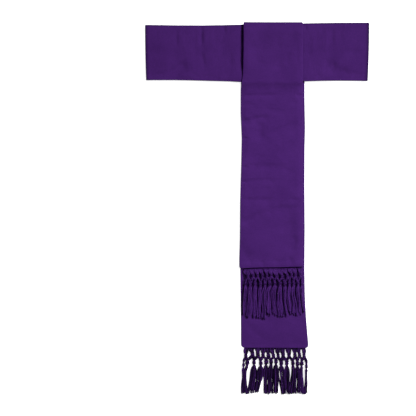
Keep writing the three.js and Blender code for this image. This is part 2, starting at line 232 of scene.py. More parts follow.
threadLook = {
    # the deep and fair colour of each tone of the one thread; tone 1 is the lightest and tone 4 the
    # darkest. The dark tones serve as painted shade where the fringe lies in shade.
    "tones": [
        ((0.0318, 0.0068, 0.0800, 1), (0.0530, 0.0119, 0.1260, 1)),
        ((0.0480, 0.0106, 0.1150, 1), (0.0765, 0.0182, 0.1740, 1)),
        ((0.0223, 0.0048, 0.0590, 1), (0.0392, 0.0088, 0.0970, 1)),
        ((0.0130, 0.0029, 0.0350, 1), (0.0246, 0.0056, 0.0625, 1)),
        ((0.0026, 0.0008, 0.0078, 1), (0.0100, 0.0024, 0.0265, 1)),
    ],
    "ply": 0.0011,         # length of one turn of the twist, in metres
    "roughness": 0.7,
    "sheen": 0.03,
}


# Twisted thread: the ply shows as slanting ridges along each thread.
def threadFinish(name, tone):
    deep, fair = threadLook["tones"][tone]
    f = Finish(name)
    place = f.add("ShaderNodeTexCoord", {}, {}, "Object")
    side, down, up = f.split(place)
    turn = (side * 0.9 + down + up * 0.8) * (2 * math.pi / threadLook["ply"])
    ply = f.calculate("SINE", turn) * 0.5 + 0.5
    shade = f.speckle(place, 55.0, 2.0)
    mottle = f.speckle(place, 330.0, 2.0)
    fuzz = f.speckle(place, 900.0, 2.0)
    tint = shade * 0.6 + mottle * 2.2 + ply * 0.35 + fuzz * 0.3 - 1.36
    color = f.blend(tint, deep, fair)
    height = ply + fuzz * 0.4
    bump = f.add("ShaderNodeBump", {}, {"Strength": 0.4, "Distance": 0.0003, "Height": height})
    return f.done({
        "Base Color": color,
        "Roughness": threadLook["roughness"] + (fuzz - 0.5) * 0.2,
        "Normal": bump,
        "Specular IOR Level": 0.055,
        "Sheen Weight": threadLook["sheen"],
        "Sheen Roughness": 0.4,
        "Sheen Tint": (0.46, 0.21, 0.78, 1),
    })


clothMaterial = clothFinish("purpleCloth")
threadMaterials = [
    threadFinish("purpleThread" + str(tone), tone) for tone in range(len(threadLook["tones"]))
]
print("finishes made")

cloth = {
    "wall": 1.5,           # thickness of one layer of the solids
    "shell": 1.4,          # thickness of the shells shown here
    "seam": 0.3,           # between two layers
    "step": 2.1,           # longest face along a sheet where it shows
    "hiddenStep": 8.0,
}
layer = cloth["wall"] + cloth["seam"]


# A thin shell: a flat grid laid through rows of stations, then given its thickness. An optional function
# sets a mask of painted shade on its vertices.
def layCloth(name, stations, columns, place, width, pressed=None):
    bm = bmesh.new()
    last = len(stations) - 1
    bmesh.ops.create_grid(bm, x_segments=columns, y_segments=last, size=0.5)
    uvLayer = bm.loops.layers.uv.new("clothUv")
    for face in bm.faces:
        for loop in face.loops:
            row = round((loop.vert.co.y + 0.5) * last)
            across = (loop.vert.co.x + 0.5) * width * mm
            loop[uvLayer].uv = (across, stations[row]["run"] * mm)
    # painted shade: how much darker each vertex is painted
    press = bm.verts.layers.float.new("press")
    for vert in bm.verts:
        row = round((vert.co.y + 0.5) * last)
        across = vert.co.x + 0.5
        if pressed:
            vert[press] = pressed(stations[row], across)
        vert.co = Vector(place(stations[row], across)) * mm
    bmesh.ops.recalc_face_normals(bm, faces=bm.faces)
    mesh = bpy.data.meshes.new(name)
    bm.to_mesh(mesh)
    bm.free()
    mesh.shade_smooth()
    mesh.materials.append(clothMaterial)
    sheet = bpy.data.objects.new(name, mesh)
    bpy.context.scene.collection.objects.link(sheet)
    thickness = sheet.modifiers.new("thickness", "SOLIDIFY")
    thickness.thickness = cloth["shell"] * mm
    thickness.offset = 0
    rounding = sheet.modifiers.new("rounding", "SUBSURF")
    rounding.levels = 1
    rounding.render_levels = 1
    return sheet


# Adds stations between the given ones so that none is longer than its step, and measures the run.
def refine(stations):
    full = []
    run = 0.0
    for a, b in zip(stations, stations[1:]):
        reach = math.dist(a["at"], b["at"])
        shows = a["front"] + b["front"] > 1 and max(abs(a["at"][0]), abs(b["at"][0])) > 80
        parts = max(1, math.ceil(reach / cloth["step" if shows else "hiddenStep"]))
        for i in range(parts):
            t = i / parts
            row = {key: mix(a[key], b[key], t) for key in a if key != "at"}
            row["at"] = tuple(mix(p, q, t) for p, q in zip(a["at"], b["at"]))
            row["run"] = run + reach * t
            full.append(row)
        run += reach
    end = dict(stations[-1])
    end["run"] = run
    full.append(end)
    return full


band = {
    "wide": 127,           # cut width, which the weave is measured by
    "left": -290.4,
    "right": 218.3,
    "rim": 0.8,            # what the rounded edge of a shell loses
    "columns": 36,
    "loft": 1.7,           # how far the front layer stands off the back one
    "endReach": 45,        # over which it comes down at each end
    "backStart": 92,       # from the middle to where the back layer's creases start
    "fallLeft": (-68, 22),     # where the relief fades out under the falls, and over how far
    "fallRight": (54, 14),
    "leftLean": 2.4,       # how far each end's lower corner is drawn aside
    "rightLean": -3.2,
    "leftPress": 1.3,      # how dark each end is painted with shade, and over how far that fades
    "rightPress": 1.6,
    "pressFade": 4,
    "pressMost": 1.25,
    "ripples": [(0.35, 34, 2.0), (0.26, 12, 5.0), (0.12, 5, 6.0)],
    "edges": [
        {"x": -290, "upper": 63.0, "lower": -61.5},
        {"x": -225, "upper": 62.0, "lower": -61.5},
        {"x": -188, "upper": 61.8, "lower": -62.2},
        {"x": -157, "upper": 61.8, "lower": -63.0},
        {"x": -102, "upper": 62.6, "lower": -64.4},
        {"x": -75, "upper": 63.3, "lower": -66.0},
        {"x": 0, "upper": 63.6, "lower": -66.0},
        {"x": 36, "upper": 64.4, "lower": -65.6},
        {"x": 72, "upper": 66.2, "lower": -64.5},
        {"x": 111, "upper": 67.0, "lower": -63.2},
        {"x": 152, "upper": 67.6, "lower": -62.8},
        {"x": 217, "upper": 68.0, "lower": -63.3},
    ],
    # x, layers beneath, inset, 1 on the front layer
    "course": [
        (18, 1, 3, 0), (-75, 1, 3, 0), (-90, 0, 3, 0), (-200, 0, 2, 0), (-281.8, 0, 0, 0),
        "foldLeft",
        (-281.8, 1, 0, 1), (-114, 1, 0, 1), (-75, 2, 0, 1), (-44, 2, 0, 1), (-32, 3, 0, 1),
        (20, 3, 0, 1), (34, 2, 0, 1), (73, 2, 0, 1), (128, 1, 0, 1), (208.8, 1, 0, 1),
        "foldRight",
        (208.8, 0, 0, 0), (150, 0, 2, 0), (88, 0, 3, 0), (73, 1, 3, 0), (34, 1, 3, 0),
        (20, 2, 3, 0), (-30, 2, 3, 0),
    ],
    "swells": [
        (-262, 4, 1.5, 22, 44), (-238, -18, 1.1, 12, 34), (-196, 12, 1.8, 22, 40),
        (-190, -34, 0.9, 18, 20), (-138, 6, 1.6, 20, 42), (112, 10, 1.3, 16, 42),
        (160, -6, 1.8, 24, 44), (198, 22, 0.9, 9, 30),
    ],
    "creases": [
        (-159, 43, 89, 46, 2.2, 1.99), (-155, -16, 100, 32, 3.0, 1.04),
        (-216, 36, 90, 41, 2.2, 0.95), (-250, -45, 190, 76, 6.5, 2.80),
        (-216, -27, 205, 46, 5.5, 2.10), (-176, -47, 142, 30, 1.8, 0.45),
        (-148, -51, 177, 46, 2.0, 0.66), (-108, 53, 88, 16, 2.0, 1.04),
        (-197, 41, 92, 36, 1.6, 0.28), (-185, 45, 88, 34, 1.6, 0.34),
        (-173, 36, 91, 40, 1.8, 0.28), (-143, 43, 90, 36, 1.8, 0.30),
        (-127, 36, 94, 40, 2.0, 0.34), (-266, 9, 184, 50, 4.5, 0.57),
        (-91, -16, 95, 40, 4.0, 0.76), (76, 57, 92, 16, 2.0, 1.61), (86, 7, 86, 30, 4.0, 0.75),
        (86, 36, 90, 24, 2.5, 0.57), (123, 34, 90, 66, 2.0, -0.48), (138, 36, 90, 34, 2.5, 0.95),
        (92, -53, 203, 30, 1.7, 0.95), (112, -39, 222, 40, 1.7, 0.95),
        (131, -21, 160, 30, 5.0, 1.70), (154, -36, 157, 50, 6.5, 1.50),
        (180, -42, 178, 84, 7.0, 2.20), (179, 7, 180, 62, 4.0, 0.76),
        (102, 30, 90, 60, 2.2, 0.28), (111, 43, 88, 50, 1.8, 0.27), (157, 43, 92, 36, 2.6, 0.38),
    ],
    "backCreases": [
        (-238, 16, 86, 70, 5.0, 0.9), (-206, -34, 158, 56, 4.5, 0.8), (-168, 26, 98, 52, 5.5, 1.0),
        (-132, -20, 176, 60, 5.0, 0.7), (126, 20, 94, 62, 5.0, 0.9), (164, -24, 24, 66, 5.0, 1.0),
        (186, 34, 88, 36, 4.5, 0.7),
    ],
}


def bandLean(x, y):
    low = ((68 - y) / 131) ** 2
    if x < 0:
        return band["leftLean"] * low * ease((-x - 120) / 170)
    return band["rightLean"] * low * ease((x - 110) / 107)


def bandFold(x, side):
    steps = 12
    middle = x - side * (cloth["wall"] + cloth["seam"] / 2)
    rise = 1 if side < 0 else -1
    for i in range(steps + 1):
        turn = math.pi * i / steps
        z = cloth["wall"] + cloth["seam"] / 2 - rise * layer / 2 * math.cos(turn)
        yield {"at": (middle + side * layer / 2 * math.sin(turn), z), "inset": 0, "front": 0}


def bandStations():
    stations = []
    course = band["course"]
    for row, after in zip(course, course[1:] + [None]):
        if row == "foldLeft":
            stations += bandFold(band["left"], -1)
        elif row == "foldRight":
            stations += bandFold(band["right"], 1)
        else:
            x, under, inset, front = row
            base = {"inset": inset, "front": front}
            stations.append({"at": (x, cloth["wall"] / 2 + layer * under), **base})
            if isinstance(after, tuple) and after[1] != under:
                for i in range(1, 6):
                    z = cloth["wall"] / 2 + layer * mix(under, after[1], ease(i / 6))
                    stations.append({"at": (mix(x, after[0], i / 6), z), **base})
    return refine(stations)


def bandRelief(x, y, across):
    place, over = band["fallLeft" if x < 0 else "fallRight"]
    free = ease((x - place) / over)
    if x < 0:
        free = 1 - free
    edge = ease(min(across, 1 - across) * 14)
    relief = band["loft"] + 0.6 * swellAt(band["swells"], x, y) + rippleAt(band["ripples"], x, y)
    relief -= creaseAt(band["creases"], x, y)
    reach = band["endReach"]
    leftEnd = mix(0.35, 1, ease((x - band["left"]) / reach))
    rightEnd = mix(0.35, 1, ease((band["right"] - x) / reach))
    return max(0.0, relief) * free * leftEnd * rightEnd * mix(0.45, 1, edge)


# The back layer has troughs of its own, no higher than the room under the front layer.
def bandPlace(station, across):
    x, z = station["at"]
    upper = along(band["edges"], "x", "upper", x) - station["inset"] + band["rim"]
    lower = along(band["edges"], "x", "lower", x) + station["inset"] - band["rim"] * 0.9
    y = mix(lower, upper, across)
    if station["front"] > 0:
        z += station["front"] * bandRelief(x, y, across)
    elif abs(x) > band["backStart"]:
        trough = creaseAt(band["backCreases"], x, y) * ease((abs(x) - band["backStart"]) / 10)
        z += min(trough, bandRelief(x, y, across))
    return (x + bandLean(x, y), y, z)


# Painted shade: the band's upper edge and its two ends, where the cloth rolls away from the light, are
# painted darker.
def bandPaintedShade(station, across):
    x = station["at"][0]
    leftEnd = band["leftPress"] - (x - band["left"]) / band["pressFade"]
    rightEnd = band["rightPress"] - (band["right"] - x) / band["pressFade"]
    return min(band["pressMost"], max(ease(across * 36 - 34.6), leftEnd, rightEnd))


bandCloth = layCloth("bandCloth", bandStations(), band["columns"], bandPlace, band["wide"],
                     bandPaintedShade)
print("waistband laid")

frontFall = {
    "wide": 140,
    "columns": 34,
    "foldTop": 69.4,
    "foldHeight": 9.2,
    "foldPeak": 3.2,       # added to the fold's height at its left
    "seamBehind": 40.0,
    "lengths": {"behind": 24, "fold": 16, "over": 131, "step": 18, "laid": 403},
    "stepStart": -65.5,    # where it starts down from the band, and where it is down
    "stepEnd": -86.0,
    "hem": (-489.2, -484.7),
    "edgeLift": 5.0,       # of the left edge over the band
    "hemLift": 2.2,        # makes room for the fringe's heading
    "overLoft": 1.2,       # over the band, then over the rear fall
    "overRipples": [(0.35, 40, 12.0), (0.26, 12, 14.0), (0.11, 5, 15.0)],
    "laidLoft": 1.8,
    "laidRipples": [(0.3, 36, 21.0), (0.25, 12, 23.0), (0.11, 5, 24.0)],
    "edges": [
        {"y": 69, "left": -66.6, "right": 66.2},
        {"y": 60, "left": -67.0, "right": 67.0},
        {"y": 7, "left": -67.3, "right": 66.7},
        {"y": -39, "left": -68.3, "right": 66.5},
        {"y": -57, "left": -69.7, "right": 66.5},
        {"y": -72, "left": -72.4, "right": 66.6},
        {"y": -84, "left": -73.2, "right": 66.8},
        {"y": -138, "left": -73.3, "right": 66.9},
        {"y": -195, "left": -70.9, "right": 66.6},
        {"y": -256, "left": -72.2, "right": 66.4},
        {"y": -338, "left": -74.5, "right": 66.6},
        {"y": -420, "left": -75.1, "right": 66.8},
        {"y": -466, "left": -76.4, "right": 66.7},
        {"y": -490, "left": -76.4, "right": 66.4},
    ],
    "swells": [
        (-30, -112, 0.9, 34, 13), (44, -128, 1.2, 22, 26), (-48, -190, 1.3, 20, 50),
        (22, -236, 1.5, 26, 60), (-30, -318, 1.2, 24, 54), (42, -362, 1.1, 20, 44),
        (-18, -430, 1.0, 30, 36),
    ],
    "creases": [
        (57, -5, 90, 40, 1.6, 0.76), (19, -25, 86, 28, 4.0, 0.95), (16, 23, 92, 28, 2.5, 0.57),
        (-11, 43, 120, 38, 8.0, 0.25), (-27, -20, 180, 16, 3.0, 0.57),
        (64, 7, 90, 118, 1.5, -0.48), (36, -16, 88, 26, 2.4, 0.47),
        (-41, 18, 150, 30, 5.0, 0.57), (-25, -93, 181, 92, 2.5, 1.14),
        (59, -94, 180, 14, 1.6, 1.52), (-52, -114, 182, 26, 2.0, 0.57),
        (5, -127, 175, 52, 3.0, 0.57), (-39, -147, 194, 60, 3.6, 2.20),
        (-59, -152, 184, 20, 3.0, 1.14), (-20, -179, 84, 44, 6.0, 1.90),
        (25, -167, 201, 70, 5.0, 1.14), (-60, -192, 180, 12, 1.3, 1.61),
        (-57, -216, 88, 46, 3.0, 1.04), (-58, -257, 180, 12, 1.3, 1.61),
        (-16, -253, 180, 98, 3.5, 1.14), (-60, -291, 180, 12, 1.3, 1.61),
        (-27, -286, 182, 76, 2.5, 0.95), (25, -261, 178, 42, 3.0, 0.57),
        (-25, -330, 180, 88, 3.2, 1.33), (48, -330, 179, 28, 3.0, 1.14),
        (-52, -375, 211, 44, 4.0, 1.71), (-18, -360, 198, 40, 4.0, 1.52),
        (32, -348, 183, 72, 4.0, 1.33), (48, -402, 90, 104, 9.0, 2.30),
        (51, -434, 88, 32, 4.0, 1.71), (-57, -445, 135, 48, 8.0, 2.30),
        (-15, -479, 90, 14, 2.0, 1.71), (45, -472, 92, 16, 2.0, 1.33),
        (-41, -474, 95, 12, 2.0, 0.66), (16, -474, 88, 12, 2.0, 0.57),
        (5, -311, 170, 60, 10.0, 0.76), (-34, -225, 160, 50, 9.0, 0.76),
        (25, -213, 210, 60, 9.0, 0.66),
    ],
}


def leftLift(x, y):
    return frontFall["edgeLift"] * ease((-24 - x) / 43) * ease((y + 62) / 52)


def cornerDraw(away, radius):
    if away >= radius:
        return 0.0
    return radius - math.sqrt(max(0.0, radius ** 2 - (radius - away) ** 2))


# Stations of the front fall by what part of its course they are on, and how far along that.
def frontStations():
    stations = [{"part": "behind", "t": i / 6} for i in range(6)]
    stations += [{"part": "fold", "t": i / 14} for i in range(15)]
    stations += [{"part": "over", "t": (i + 1) / 54} for i in range(54)]
    stations += [{"part": "step", "t": (i + 1) / 8} for i in range(8)]
    stations += [{"part": "laid", "t": 0.985 * (i + 1) / 170} for i in range(170)]
    stations += [{"part": "laid", "t": t} for t in (0.99, 0.994, 0.997, 0.999, 1.0)]
    lengths = frontFall["lengths"]
    order = list(lengths)
    for row in stations:
        before = sum(lengths[part] for part in order[:order.index(row["part"])])
        row["run"] = before + lengths[row["part"]] * row["t"]
    return stations


# The front hem rises a little over its left half.
def hemBow(x):
    return 1.2 * math.exp(-((x + 32) / 34) ** 2)


def overRelief(x, y):
    relief = frontFall["overLoft"] + rippleAt(frontFall["overRipples"], x, y)
    return max(0.0, relief - creaseAt(frontFall["creases"], x, y))


# How far the front fall stands off the rear one. It is most just below the band.
def laidRelief(x, y):
    relief = frontFall["laidLoft"] + 0.5 * swellAt(frontFall["swells"], x, y)
    relief += rippleAt(frontFall["laidRipples"], x, y)
    relief += 1.3 * math.exp((y - frontFall["stepEnd"]) / 34)
    return max(0.0, relief - creaseAt(frontFall["creases"], x, y))


def frontPlace(station, across):
    fall = frontFall
    part, t = station["part"], station["t"]
    nominal = mix(-67, 67, across)
    half = cloth["wall"] / 2
    onBand = half + 4 * layer
    radius = (fall["foldHeight"] + fall["foldPeak"] * ease((-10 - nominal) / 50)) / 2
    centre = fall["foldTop"] - half - radius
    hem = mix(fall["hem"][0], fall["hem"][1], across) + hemBow(nominal)
    edge = mix(0.35, 1, ease(min(across, 1 - across) * 12))
    if part == "behind":
        y, z = mix(fall["seamBehind"], centre, t), half
    elif part == "fold":
        turn = math.pi * t
        y, z = centre + radius * math.sin(turn), half + radius * (1 - math.cos(turn))
        z += 0.25 * math.sin(turn / 2) * ripple(nominal, 3.0, 18, 9.0)
    elif part == "over":
        y = mix(centre, fall["stepStart"], t)
        down = ease((centre - y) / 58)
        slack = (half + 2 * radius - onBand) * (1 - down)
        z = onBand + slack + leftLift(nominal, y) * down
        z += overRelief(nominal, y) * edge * ease((centre - y) / 20)
    elif part == "step":
        y = mix(fall["stepStart"], fall["stepEnd"], t)
        down = t + 0.16 * ripple(nominal, 0.0, 19, 17.0)
        high = onBand + overRelief(nominal, y) * edge
        low = half + layer + laidRelief(nominal, y) * edge
        z = mix(high, low, 0.6 * ease(down) + 0.4 * ease(down * 1.9))
        z += 0.3 * math.sin(math.pi * t) * ripple(nominal, 9 * t, 7, 18.0)
    else:
        y = mix(fall["stepEnd"], hem, t)
        lift = fall["hemLift"] * ease((hem + 16 - y) / 14)
        grow = mix(0.3, 1, ease((y - hem) / 12))
        z = half + layer + laidRelief(nominal, y) * grow * edge + lift
    away = y - hem
    left = along(fall["edges"], "y", "left", y) + cornerDraw(away, 5)
    right = along(fall["edges"], "y", "right", y) - cornerDraw(away, 3)
    return (mix(left - 0.4, right + 0.5, across), y, z)


# The fold of the front fall, which rounds away from the light, gets the same painted shade.
def frontPaintedShade(station, across):
    if station["part"] != "fold":
        return 0.0
    return ease(1.5 - abs(station["t"] - 0.6) / 0.3)


frontCloth = layCloth("frontFall", frontStations(), frontFall["columns"], frontPlace,
                      frontFall["wide"], frontPaintedShade)
print("front fall laid")

rearFall = {
    "wide": 145,
    "long": 708,
    "columns": 36,
    "hem": (-668.9, -669.6),
    "hemLift": 0.6,        # makes room for the fringe's heading
    "loft": 0.4,
    "ripples": [(0.5, 30, 31.0)],
    "edges": [
        {"y": 60, "left": -67.0, "right": 67.0},
        {"y": -20, "left": -69.5, "right": 69.0},
        {"y": -66, "left": -72.8, "right": 70.8},
        {"y": -100, "left": -71.5, "right": 70.8},
        {"y": -170, "left": -70.0, "right": 72.0},
        {"y": -216, "left": -70.0, "right": 71.0},
        {"y": -300, "left": -71.0, "right": 70.6},
        {"y": -400, "left": -71.8, "right": 71.3},
        {"y": -493, "left": -74.0, "right": 70.6},
        {"y": -554, "left": -73.3, "right": 71.7},
        {"y": -600, "left": -72.7, "right": 74.2},
        {"y": -634, "left": -72.5, "right": 77.0},
        {"y": -658, "left": -72.4, "right": 79.0},
        {"y": -669, "left": -72.4, "right": 79.2},
    ],
    "swells": [(-26, -640, 0.9, 26, 16), (48, -634, 1.1, 20, 18)],
    "creases": [
        (-46, -636, -38, 60, 3.5, 0.7), (20, -628, 24, 50, 5.0, 0.4), (50, -650, 100, 30, 5.0, 0.4),
        (0, -655, 6, 60, 4.0, 0.3),
    ],
    "backCreases": [
        (-30, -140, 178, 76, 4.5, 0.9), (34, -176, 12, 56, 5.0, 0.8), (-40, -232, 170, 50, 4.0, 0.9),
        (18, -268, 182, 90, 5.0, 0.9), (-20, -322, 8, 66, 4.0, 0.8), (46, -366, 92, 60, 6.0, 0.8),
        (-34, -404, 146, 56, 5.0, 0.9), (10, -452, 178, 76, 4.5, 0.8),
    ],
}


def rearStations():
    start = frontFall["seamBehind"] - cloth["seam"]
    rows = [0.9 * i / 139 for i in range(140)] + [0.9 + 0.085 * (i + 1) / 26 for i in range(26)]
    rows += [0.99, 0.994, 0.997, 0.999, 1.0]
    return [{"t": t, "run": rearFall["long"] * t, "start": start} for t in rows]


def rearPlace(station, across):
    fall = rearFall
    hem = mix(fall["hem"][0], fall["hem"][1], across)
    y = mix(station["start"], hem, station["t"])
    left = along(fall["edges"], "y", "left", y) + cornerDraw(y - hem, 8)
    right = along(fall["edges"], "y", "right", y) - cornerDraw(y - hem, 6)
    x = mix(left - 0.4, right + 1.1, across)
    edge = mix(0.3, 1, ease(min(across, 1 - across) * 12))
    relief = fall["loft"] + swellAt(fall["swells"], x, y) + rippleAt(fall["ripples"], x, y)
    relief = max(0.0, relief - creaseAt(fall["creases"], x, y))
    grow = ease((-604 - y) / 12) * mix(0.25, 1, ease((y - hem) / 12))
    under = ease((-92 - y) / 14) * ease((y + 486) / 14)
    trough = min(creaseAt(fall["backCreases"], x, y), laidRelief(x, y)) * under
    lift = fall["hemLift"] * ease((hem + 8 - y) / 6)
    return (x, y, cloth["wall"] / 2 + lift + (relief * grow + trough) * edge)


rearCloth = layCloth("rearFall", rearStations(), rearFall["columns"], rearPlace, rearFall["wide"])
print("rear fall laid")

fringe = {
    "threads": 44,         # threads knotted together in each bundle
    "radius": 0.46,
    "knotHeight": 3.4,     # of a knot's middle above what the fringe lies on
    "locks": 5,            # locks that each tassel parts into
    "waist": 0.33,         # how far down a tassel its waist lies
    "inset": 1.3,          # from a tassel's outer strand to the middle of its outer lock
    "cores": 3,            # thick strands that fill out each lock
    "coreRadius": 0.72,
    "coreGap": 1.1,
    "strays": 0.05,        # share of the threads that leave their lock
    "loosen": 1.3,         # how much thicker a thread is at its foot than at its root
    "goldenTurn": 2.39996,
    "wraps": 7,            # strands wound round each knot
    "leanWraps": 5,        # of them, those that slant one way; the others cross them
    "wrapGap": 0.95,
    "crossGap": 1.3,
    "wrapRadius": 0.52,
    "headingThick": 0.4,
    "headingRise": 0.3,
}

frontFringe = {
    "name": "frontFringe",
    "floor": layer,
    "lowest": cloth["wall"] + 0.1,
    "heading": 3.6,        # height of the woven heading
    "tuck": 1.2,           # how far it reaches up behind the hem
    "gap": 2.8,            # from the hem to the roots of the threads
    "hem": (-489.2, -484.7, -71.4, 63.4),      # Y at its left and right, then the X of both
    "ends": (-68.0, 66.0),
    "drop": 19.6,          # from the hem to the first row of knots
    "bow": 1.0,            # share of the front hem's rise
    "lean": -4.0,          # how far slack roots lie to the side
    "grip": (2.8, 2.1),    # half width and half height of a bundle in a knot
    "cord": 2.0,           # half width of a cord of the lattice
    "ragged": 5.0,         # how much the locks' lengths vary
    "sway": (0.7, 2.2),    # how far a lock wanders
    "high": (0.5, 5.2),    # of a lock above what the fringe lies on
    "under": 46,           # slack strands behind the openings of the lattice, in dark tones as painted shadow there
    "underTones": (4, 4, 4, 3),
    "underLight": (2, 3, 0),
    "underFrom": -40,      # left of this they have the lighter tones, with less painted shadow
    "tones": (1, 1, 0, 1, 1, 3),
    "knotTones": (0, 2, 1, 2, 3),
    "coreTones": (0, 1, 3),
    "firstKnots": [-57, -45.6, -35.2, -24.5, -14.5, -4.5, 7, 20.4, 32.7, 41.5, 50.4, 60.8],
    # knot, drop and end below the hem, left and right at the waist, left and right at the foot
    "tassels": [
        (-63.2, 36.5, 100, -67.5, -59.0, -69.0, -61.4), (-52.2, 37.5, 107, -57.5, -50.0, -59.4, -50.0),
        (-40.9, 36.5, 109, -48.5, -37.0, -48.0, -38.0), (-29.2, 38.0, 111, -35.2, -28.2, -36.0, -27.6),
        (-18.8, 38.5, 112, -27.0, -18.6, -25.6, -16.6), (-8.2, 37.0, 104, -17.2, -9.0, -15.0, -6.0),
        (3.6, 37.5, 105, -7.4, 6.8, -4.0, 9.0), (15.6, 36.5, 108, 8.0, 19.2, 11.6, 23.0),
        (26.6, 37.5, 108, 20.6, 29.4, 24.6, 33.4), (36.8, 37.0, 104, 31.0, 40.0, 35.2, 43.4),
        (46.4, 38.0, 106, 41.4, 49.0, 45.2, 54.0), (56.4, 37.0, 106, 51.0, 60.0, 56.0, 64.6),
        (64.6, 40.5, 101, 61.6, 67.6, 66.6, 71.6),
    ],
}
rearFringe = {
    "name": "rearFringe",
    "floor": 0.0,
    "lowest": 0.0,
    "heading": 5.0,
    "tuck": 0.4,
    "gap": 1.0,
    "hem": (-668.2, -668.9, -64.4, 73.2),
    "ends": (-65.6, 74.0),
    "drop": 16.4,
    "bow": 0.0,
    "lean": -1.6,
    "grip": (3.6, 2.0),
    "cord": 2.7,
    "ragged": 1.6,
    "sway": (0.4, 1.2),
    "high": (0.5, 3.4),
    "under": 0,
    # painted shade: the rear fringe's threads, knots and cores take the darkest tones, for the shade
    # among its threads
    "tones": (4, 3, 4, 1, 4, 4, 0),
    "knotTones": (4, 1, 3, 2, 4),
    "coreTones": (4, 4, 3),
    "firstKnots": [-61.7, -46.8, -34.5, -22.7, -10.4, 0.9, 11.6, 22.9, 36.3, 49.7, 59.7, 70.4],
    "tassels": [
        (-66.9, 39.5, 103, -70.0, -64.0, -72.6, -65.4), (-58.4, 34.5, 104, -66.6, -61.0, -66.0, -57.0),
        (-43.1, 34.0, 103, -52.2, -36.2, -58.0, -43.6), (-27.9, 35.5, 102, -37.0, -22.0, -41.4, -32.2),
        (-15.4, 33.0, 103, -23.4, -12.0, -20.8, -13.0), (-4.6, 32.0, 104, -12.2, -1.4, -13.6, -2.8),
        (6.6, 31.5, 103.5, -1.8, 11.6, -2.6, 10.0), (18.6, 34.5, 104, 10.8, 26.6, 18.0, 26.6),
        (31.1, 34.0, 103, 25.2, 37.8, 24.6, 37.8), (44.9, 35.0, 103, 41.4, 50.6, 36.0, 48.4),
        (55.2, 36.5, 102, 49.0, 61.0, 47.8, 62.0), (64.6, 36.0, 104, 61.0, 68.0, 64.0, 70.0),
        (75.6, 42.0, 105, 72.6, 77.0, 69.8, 76.8),
    ],
}


def hemAt(side, x):
    left, right, fromX, toX = side["hem"]
    return mix(left, right, (x - fromX) / (toX - fromX)) + side["bow"] * hemBow(x)


# A smooth path through waypoints, with a few points to each stretch.
def smoothPath(points, parts):
    path = []
    for i in range(len(points) - 1):
        before = points[max(i - 1, 0)]
        a, b = points[i], points[i + 1]
        after = points[min(i + 2, len(points) - 1)]
        for k in range(parts):
            t = k / parts
            path.append(0.5 * (
                2 * a + (b - before) * t
                + (2 * before - 5 * a + 4 * b - after) * t * t
                + (3 * a - before - 3 * b + after) * t ** 3
            ))
    path.append(points[-1])
    return path


# Many threads drawn as one curve with round sections, then made into a mesh.
def spinThreads(name, paths, radius, lowest, loosen=1.0):
    curve = bpy.data.curves.new(name + "Curve", "CURVE")
    curve.dimensions = "3D"
    curve.bevel_depth = radius * mm
    curve.bevel_resolution = 0
    curve.use_fill_caps = True
    for material in threadMaterials:
        curve.materials.append(material)
    for path, tone in paths:
        spline = curve.splines.new("POLY")
        spline.points.add(len(path) - 1)
        for n, (point, place) in enumerate(zip(spline.points, path)):
            point.radius = mix(1, loosen, n / len(path))
            z = max(place.z, lowest + radius * point.radius)
            point.co = (place.x * mm, place.y * mm, z * mm, 1)
        spline.use_smooth = True
        spline.material_index = tone
    drawn = bpy.data.objects.new(name + "Curve", curve)
    bpy.context.scene.collection.objects.link(drawn)
    graph = bpy.context.evaluated_depsgraph_get()
    mesh = bpy.data.meshes.new_from_object(drawn.evaluated_get(graph))
    mesh.name = name
    bpy.data.objects.remove(drawn)
    threads = bpy.data.objects.new(name, mesh)
    bpy.context.scene.collection.objects.link(threads)
    return threads


# A thread's place in a round bundle, from its number.
def bundleSpot(i, count, twist):
    turn = i * fringe["goldenTurn"] + twist
    reach = math.sqrt((i + 0.5) / count)
    return reach * math.cos(turn), reach * math.sin(turn)


# Each tassel parts into locks, which lie at their own heights and wander a little.
def partLocks(side, tassel):
    knot, drop, end, waistLeft, waistRight, footLeft, footRight = tassel
    inset = fringe["inset"]
    locks = []
    for n in range(fringe["locks"]):
        share = n / (fringe["locks"] - 1)
        locks.append({
            "knot": knot + 5.0 * (share - 0.5),
            "waist": mix(waistLeft + inset, waistRight - inset, share) + random.uniform(-0.5, 0.5),
            "foot": mix(footLeft + inset, footRight - inset, share) + random.uniform(-0.8, 0.8),
            "top": drop,
            "end": end + random.uniform(-1, 1) * side["ragged"],
            "high": random.uniform(*side["high"]),
            "phase": random.uniform(0, 6.28),
            "waves": random.uniform(4, 8),
            "sway": random.uniform(*side["sway"]),
            "tone": random.choice(side["tones"]),
        })
    return locks


# Heights of a lock's threads and of its cores, at a share of the way down.
def threadHeight(lock, t, above):
    slope = mix(4.2, lock["high"], ease(t * 1.7)) * mix(1, 0.7, t)
    return 0.6 + slope + above * mix(1, 0.6, t)


def coreHeight(lock, t, above):
    return fringe["coreRadius"] + above + mix(2.6, 0.35 * lock["high"], ease(t * 1.8))


# The course of a strand of a lock, from its knot to its foot, at a distance from the lock's middle.
def lockCourse(side, lock, top, aside, longer, height, above):
    waist = fringe["waist"]
    footY = hemAt(side, lock["foot"]) - lock["end"] - longer
    points = []
    for t in (0.1, 0.24, 0.42, 0.62, 0.82, 1.0):
        if t < waist:
            x = mix(lock["knot"], lock["waist"], ease(t / waist))
        else:
            x = mix(lock["waist"], lock["foot"], (t - waist) / (1 - waist))
        x += aside * (mix(0.5, 0.85, ease(t * 3)) + 0.25 * t)
        x += lock["sway"] * math.sin(lock["phase"] + lock["waves"] * t) * ease(t * 1.6)
        points.append(Vector((x, mix(top, footY, t), side["floor"] + height(lock, t, above))))
    return points


def tasselPoints(side, lock, start):
    above = random.uniform(0, 1.5)
    stray = random.uniform(-5, 5) if random.random() < fringe["strays"] else 0.0
    aside = random.gauss(0, 0.7)
    longer = random.uniform(-1.6, 1.6)
    points = lockCourse(side, lock, start.y, aside, longer, threadHeight, above)
    for n, point in enumerate(points):
        point.x += stray * (n / 5) ** 2 + random.uniform(-0.3, 0.3)
    return points
